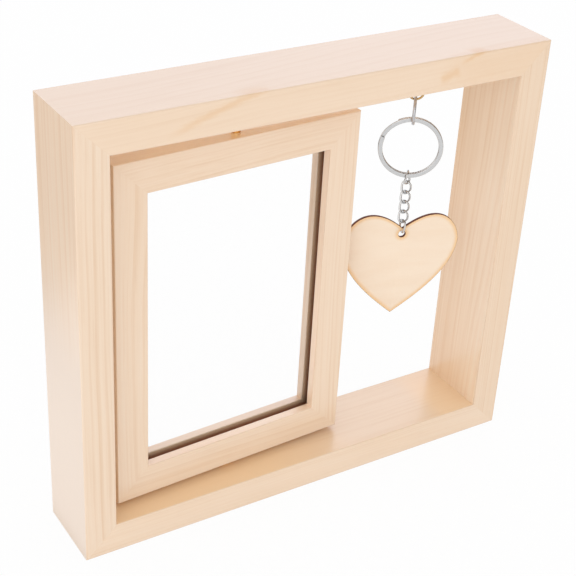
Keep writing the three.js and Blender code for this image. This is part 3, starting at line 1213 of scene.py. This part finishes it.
@dataclass
class HeartTag:
    """Laser-cut plywood heart with a hole under its cleft."""

    RIM = "rim_distance"
    HOLE = "hole_distance"
    DEPTH = "depth"
    FACING = 0.5

    face: Material
    edge: Material
    turn: float = -16.2
    lean: float = 2.8
    half_width: float = 29.2 * MM
    tip_drop: float = 43.2 * MM
    waist_drop: float = 4.0 * MM
    thickness: float = 1.5 * MM
    hole: float = 1.75 * MM
    bridge: float = 1.2 * MM
    lobe_slope: float = 38.6
    lobe_handle: float = 27.0 * MM
    shoulder_handle: float = 5.6 * MM
    waist_handle: float = 14.8 * MM
    tip_slope: float = 37.0
    tip_handle: float = 18.6 * MM
    curve_points: int = 48
    ease: float = 0.12 * MM
    ease_steps: int = 2

    def build(self) -> None:
        """Make and dress the tag."""
        node = "heart_tag"
        piece = Piece(f"{node}_cut", "tag", "tag_plywood")
        self._cut(piece)
        hole = joint_place("tag_swing") - Vector((0, 0, self.hole + self.bridge / 2))
        piece.set_in_place(hole, self.turn, self.lean)
        piece.finish([node], [self.face, self.edge])

    def _outline(self) -> list[Vector]:
        """Draw the outline from the cleft down the right side and up the left.

        Returns:
            Points in the plane of the tag, about the hole.
        """
        cleft = Vector((0, 0, self.hole + self.bridge))
        waist = Vector((self.half_width, 0, -self.waist_drop))
        tip = Vector((0, 0, -self.tip_drop))
        slope, rise = math.radians(self.lobe_slope), math.radians(self.tip_slope)
        lobe = cleft + self.lobe_handle * Vector((math.cos(slope), 0, math.sin(slope)))
        shoulder = waist + Vector((0, 0, self.shoulder_handle))
        flank = waist - Vector((0, 0, self.waist_handle))
        low = tip + self.tip_handle * Vector((math.cos(rise), 0, math.sin(rise)))
        over = interpolate_bezier(cleft, lobe, shoulder, waist, self.curve_points)
        under = interpolate_bezier(waist, flank, low, tip, self.curve_points)
        right = over + under[1:]
        return right + [Vector((-point.x, 0, point.z)) for point in right[-2:0:-1]]

    def _loops(self, mesh: bmesh.types.BMesh) -> list[bmesh.types.BMEdge]:
        """Lay the rim and the hole as two loops that carry their distances in millimetres.

        Args:
            mesh: The tag's mesh.

        Returns:
            The edges of both loops.
        """
        rim_layer = mesh.verts.layers.float[self.RIM]
        hole_layer = mesh.verts.layers.float[self.HOLE]
        front = Vector((0, -self.thickness / 2, 0))
        outline = self._outline()
        rim = [mesh.verts.new(point + front) for point in outline]
        eye = [mesh.verts.new(point.normalized() * self.hole + front) for point in outline]
        for place, (outer, inner) in enumerate(zip(rim, eye)):
            spoke = outer.co - inner.co
            along = (outline[(place + 1) % len(outline)] - outline[place - 1]).normalized()
            inner[rim_layer] = abs(spoke.dot(Vector((-along.z, 0, along.x)))) / MM
            outer[hole_layer] = spoke.length / MM
        return [mesh.edges.new(pair) for ring in (rim, eye) for pair in zip(ring, ring[1:] + ring[:1])]

    def _cut(self, piece: Piece) -> None:
        """Bridge the outline to the hole, give the sheet its thickness and ease its edges.

        Args:
            piece: The piece to fill.
        """
        mesh = piece.mesh
        for name in (self.RIM, self.HOLE, self.DEPTH):
            mesh.verts.layers.float.new(name)
        depth_layer = mesh.verts.layers.float[self.DEPTH]
        bmesh.ops.bridge_loops(mesh, edges=self._loops(mesh))
        back = bmesh.ops.extrude_face_region(mesh, geom=mesh.faces[:])["geom"]
        moved = [part for part in back if isinstance(part, bmesh.types.BMVert)]
        bmesh.ops.translate(mesh, vec=(0, self.thickness, 0), verts=moved)
        for vertex in moved:
            vertex[depth_layer] = 1.0
        piece.tidy()
        for face in mesh.faces:
            face.material_index = 0 if abs(face.normal.y) > self.FACING else 1
        corners = [edge for edge in mesh.edges if edge.is_manifold and edge.calc_face_angle() > SHARP_CORNER
                   and abs(edge.verts[0].co.y - edge.verts[1].co.y) < self.ease]
        for face in piece.ease(corners, self.ease, self.ease_steps):
            face.material_index = 1


@dataclass(frozen=True)
class Lamp:
    """Soft rectangular lamp that faces the object."""

    name: str
    place: Triple
    size: Pair
    power: float
    colour: Colour = WHITE

    def hang(self, aim: Vector) -> None:
        """Hang the lamp.

        Args:
            aim: The point that it faces.
        """
        data = bpy.data.lights.new(self.name, "AREA")
        data.shape = "RECTANGLE"
        data.size, data.size_y = self.size
        data.energy = self.power
        data.color = self.colour
        facing = (aim - Vector(self.place)).to_track_quat("-Z", "Y").to_matrix().to_4x4()
        stand(self.name, data).matrix_world = Matrix.Translation(self.place) @ facing


@dataclass(frozen=True)
class Card:
    """Sheet that shows only in reflections, as a dark or bright card in a studio does."""

    name: str
    place: Triple
    size: Pair
    level: float
    turn: Triple = (0.0, 0.0, 0.0)

    def hang(self) -> None:
        """Hang the card out of the camera's and the lamps' way."""
        material, graph = new_material(self.name)
        glow = graph.add("ShaderNodeEmission", {}, {"Color": WHITE, "Strength": self.level})
        graph.add("ShaderNodeOutputMaterial", {}, {"Surface": glow.outputs[0]})
        facing = Euler([math.radians(angle) for angle in self.turn]).to_matrix().to_4x4()
        spread = Matrix.Translation(self.place) @ facing @ Matrix.Diagonal((*self.size, 1, 1))
        card = lay_sheet(self.name, material, spread)
        card.visible_camera = False
        card.visible_diffuse = False
        card.visible_transmission = False
        card.visible_shadow = False


def lay_sheet(name: str, material: Material, spread: Matrix) -> bpy.types.Object:
    """Lay a flat sheet of the studio.

    Args:
        name: The sheet's name.
        material: Its material.
        spread: The matrix that stretches a unit square into its place.

    Returns:
        The sheet.
    """
    mesh = bmesh.new()
    bmesh.ops.create_grid(mesh, x_segments=1, y_segments=1, size=0.5, matrix=spread)
    data = bpy.data.meshes.new(name)
    mesh.to_mesh(data)
    mesh.free()
    data.materials.append(material)
    sheet = stand(name, data)
    return sheet


@dataclass
class Studio:
    """White studio with a pale floor, soft light and a camera at the photograph's place."""

    azimuth: float = -32.98
    elevation: float = 30.20
    roll: float = 3.36
    distance: float = 0.6151
    aim: Triple = (-0.00476, 0.0, 0.10238)
    lens: float = 83.84
    sensor: float = 36.0
    ambient: float = 0.87
    floor_side: float = 8.0
    floor_colour: Colour = (0.96, 0.96, 0.96)
    floor_show: float = 0.06
    lamps: tuple[Lamp, ...] = (
        Lamp("key_lamp", (-1.25, -1.5, 0.85), (1.7, 1.7), 5.0),
        Lamp("fill_lamp", (1.2, -1.8, 0.7), (1.4, 1.2), 3.0),
        Lamp("side_lamp", (-2.0, -0.2, 0.6), (1.4, 1.0), 2.4),
        Lamp("back_lamp", (0.95, 1.45, 0.9), (1.7, 0.7), 2.6, (0.62, 0.62, 1.0)),
    )
    cards: tuple[Card, ...] = (
        Card("top_card", (0.0, -0.1, 0.8), (1.5, 1.5), 0.03),
        Card("right_card", (0.6, -0.6, 0.4), (0.8, 2.0), 0.03, (0.0, 90.0, 0.0)),
        Card("near_card", (-0.21, 0.03, 0.001), (0.18, 0.26), 1.2),
        Card("far_card", (-0.36, 0.45, 0.001), (0.48, 0.5), 0.08),
        Card("rail_card", (0.8, 1.05, 1.06), (0.9, 0.4), 2.2, (90.0, 0.0, 0.0)),
    )

    def build(self) -> None:
        """Make the camera, the floor, the world, the lamps and the cards."""
        bpy.context.scene.view_settings.view_transform = "Standard"
        self._camera()
        self._floor()
        self._world()
        for lamp in self.lamps:
            lamp.hang(Vector(self.aim))
        for card in self.cards:
            card.hang()

    def _camera(self) -> None:
        """Place the camera by its angles round the aim, with its roll."""
        turn, rise, roll = (math.radians(angle) for angle in (self.azimuth, self.elevation, self.roll))
        back = Vector((math.sin(turn) * math.cos(rise), -math.cos(turn) * math.cos(rise), math.sin(rise)))
        right = Vector((0, 0, 1)).cross(back).normalized()
        upward = back.cross(right)
        tilted = right * math.cos(roll) + upward * math.sin(roll)
        raised = upward * math.cos(roll) - right * math.sin(roll)
        data = bpy.data.cameras.new("camera")
        data.lens = self.lens
        data.sensor_width = self.sensor
        axes = Matrix((tilted, raised, back)).transposed().to_4x4()
        camera = stand("camera", data)
        camera.matrix_world = Matrix.Translation(Vector(self.aim) + back * self.distance) @ axes
        bpy.context.scene.camera = camera

    @staticmethod
    def _seen(graph: Graph) -> Value:
        """Tell the rays that show the background, straight or in metal and acrylic, from the rest.

        Args:
            graph: The graph of the floor or the world.

        Returns:
            1 for such a ray and 0 for any other.
        """
        path = graph.add("ShaderNodeLightPath")
        straight, mirrored, passed = (
            Value(graph, path.outputs[f"Is {ray} Ray"]) for ray in ("Camera", "Glossy", "Transmission"))
        return graph.clamped(straight + mirrored + passed)

    def _floor(self) -> None:
        """Lay the floor, white where it is seen and keeping a faint shadow."""
        material, graph = new_material("floor_white")
        matt = graph.add("ShaderNodeBsdfDiffuse", {}, {"Color": self.floor_colour})
        white = graph.add("ShaderNodeEmission", {}, {"Color": WHITE, "Strength": 1.0})
        share = self._seen(graph) * (1 - self.floor_show)
        mixed = graph.add("ShaderNodeMixShader", {}, {0: share, 1: matt.outputs[0], 2: white.outputs[0]})
        graph.add("ShaderNodeOutputMaterial", {}, {"Surface": mixed.outputs[0]})
        lay_sheet("floor", material, Matrix.Diagonal((self.floor_side, self.floor_side, 1, 1)))

    def _world(self) -> None:
        """Light the scene from all round, with a white background where it is seen."""
        world = bpy.data.worlds.new("studio")
        world.use_nodes = True
        graph = Graph(world.node_tree)
        soft = graph.add("ShaderNodeBackground", {}, {"Color": WHITE, "Strength": self.ambient})
        white = graph.add("ShaderNodeBackground", {}, {"Color": WHITE, "Strength": 1.0})
        share = self._seen(graph)
        mixed = graph.add("ShaderNodeMixShader", {}, {0: share, 1: soft.outputs[0], 2: white.outputs[0]})
        graph.add("ShaderNodeOutputWorld", {}, {"Surface": mixed.outputs[0]})
        bpy.context.scene.world = world


def outer_woods() -> dict[str, WoodFinish]:
    """Choose the wood of each board of the outer frame.

    Returns:
        The finishes by board, with places in millimetres in the frame.
    """
    return {
        "top_rail": WoodFinish(
            Grain.LEVEL, pith=(70, 46), tilt=(2.2, 1.2), figure=0.24, amber=srgb(230, 182, 124),
            streaks=(
                Streak((-78, 198.0), (-18, 215.0), width=2.6, tone_strength=0.36, arch=1.2),
                Streak((64, 206.5), (92, 213.5), width=1.6, tone_strength=0.45, arch=1.0),
                Streak((54, 200.5), (66, 204.0), width=4.0, tone_strength=0.4, arch=0.3),
                Streak((44, 203.0), (190, 203.0), width=20.0, tone_strength=0.2),
            ),
            # Painted light: this tone lightens the rail's inner faces inside the opening.
            side=Side.INNER, painted_lighting_tone=(1.1, 1.08, 1.02)),
        # Painted shade and reflection: the rail's top face is darkened and yellowed by its tone, and turned
        # golden under the leaf by the streaks, in the colour given as amber.
        "bottom_rail": WoodFinish(
            Grain.LEVEL, pith=(-64, 52), tilt=(0.6, -0.8), along=410, figure=0.45, amber=srgb(252, 215, 168),
            side=Side.INNER, painted_lighting_tone=(0.99, 0.96, 0.9), side_blur=0.28,
            painted_lighting_streaks=(
                Streak((-250, 15), (36, 15), width=40.0, tone_strength=0.85, depth=80.0),
                Streak((72, 15), (138, 15), width=40.0, tone_strength=0.6, depth=80.0),
            )),
        # Painted light and reflection: the outer side is lightened by its tone, and its lower part turned
        # greyer and pinker by the streak, in the colour given as amber.
        "left_stile": WoodFinish(
            Grain.UPRIGHT, pith=(29, -42), tilt=(0.4, 0.6), along=730, ring=1.86, lines=0.42, stray=5.0,
            blur=0.4, film=1.7, amber=srgb(231, 208, 187),
            side=Side.OUTER, painted_lighting_tone=(1.09, 1.05, 1.02), side_blur=0.4,
            painted_lighting_streaks=(Streak((-116, -130), (-116, 150), width=40.0, tone_strength=1.0, depth=200.0),)),
        # Painted shade darkens this board from front to back, and painted light lightens its inner face.
        "right_stile": WoodFinish(
            Grain.UPRIGHT, pith=(-24, 33), tilt=(-0.5, 0.5), along=1190, ring=1.5, lines=0.34, shade=0.3,
            stray=4.0, lacquer=0.4, light=srgb(243, 222, 199), middle=srgb(237, 210, 182),
            side=Side.INNER, painted_lighting_tone=(1.12, 1.13, 1.13), side_blur=0.3),
    }


def leaf_woods() -> dict[str, WoodFinish]:
    """Choose the wood of each board of the leaf.

    Returns:
        The finishes by board.
    """
    # Painted light and shade: each named side's tone lightens the faces in the gaps and inside the opening,
    # and warms the left stile's outer side.
    return {
        "top_rail": WoodFinish(
            Grain.LEVEL, pith=(64, -38), tilt=(0.8, 0.6), along=1630, ring=1.9, figure=0.5,
            side=Side.OUTER, painted_lighting_tone=(1.12, 1.08, 0.97)),
        "bottom_rail": WoodFinish(
            Grain.LEVEL, pith=(-72, 41), tilt=(1.4, -1.0), along=2050, ring=2.4, figure=0.5,
            side=Side.INNER, painted_lighting_tone=(1.1, 1.05, 1.02), side_blur=0.3),
        "left_stile": WoodFinish(
            Grain.UPRIGHT, pith=(61, 47), tilt=(0.5, -0.4), along=2470, ring=1.8, figure=0.5, lines=0.4,
            side=Side.OUTER, painted_lighting_tone=(1.0, 0.96, 0.83)),
        "right_stile": WoodFinish(
            Grain.UPRIGHT, pith=(-66, -45), tilt=(-0.6, 0.4), along=2910, ring=1.8, figure=0.5, lines=0.4,
            side=Side.INNER, painted_lighting_tone=(1.1, 1.05, 1.02), side_blur=0.3),
    }


def main() -> None:
    """Build every sub-assembly in order."""
    logging.basicConfig(level=logging.INFO, format="%(message)s")
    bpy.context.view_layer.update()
    Studio().build()
    BoardSet("outer_frame", "frame_wood", "outer", arris=0.6 * MM, turn=0.0, finishes=outer_woods()).build()
    BoardSet("photo_leaf", "leaf_wood", "leaf", arris=0.45 * MM, turn=2.86, finishes=leaf_woods(),
             groove_half=2.0 * MM).build()
    beech = WoodFinish(Grain.UPRIGHT, pith=(50, 20), light=srgb(226, 196, 158), middle=srgb(217, 180, 138),
                       dark=srgb(196, 150, 104))
    KeptPieces(AcrylicFinish().material("clear_acrylic"), beech.material("tongue_beech")).build()
    brass = MetalFinish(srgb(206, 172, 118), srgb(170, 134, 84), 0.3).material("plain_brass")
    nickel = MetalFinish(srgb(211, 211, 211), srgb(196, 196, 196), 0.24).material("plain_nickel")
    bright = MetalFinish(srgb(212, 212, 212), srgb(186, 186, 186), 0.08).material("bright_nickel")
    satin = MetalFinish(srgb(204, 204, 206), srgb(186, 186, 188), 0.36).material("satin_nickel")
    Pivots(MetalFinish(srgb(255, 208, 124), srgb(240, 188, 104), 0.4).material("turned_brass")).build()
    WireWork(brass, satin).build()
    SplitRing(nickel).build()
    Chain(bright).build()
    HeartTag(PlywoodFinish().material("tag_face"), ScorchFinish().material("tag_edge")).build()


if __name__ == "__main__":
    main()
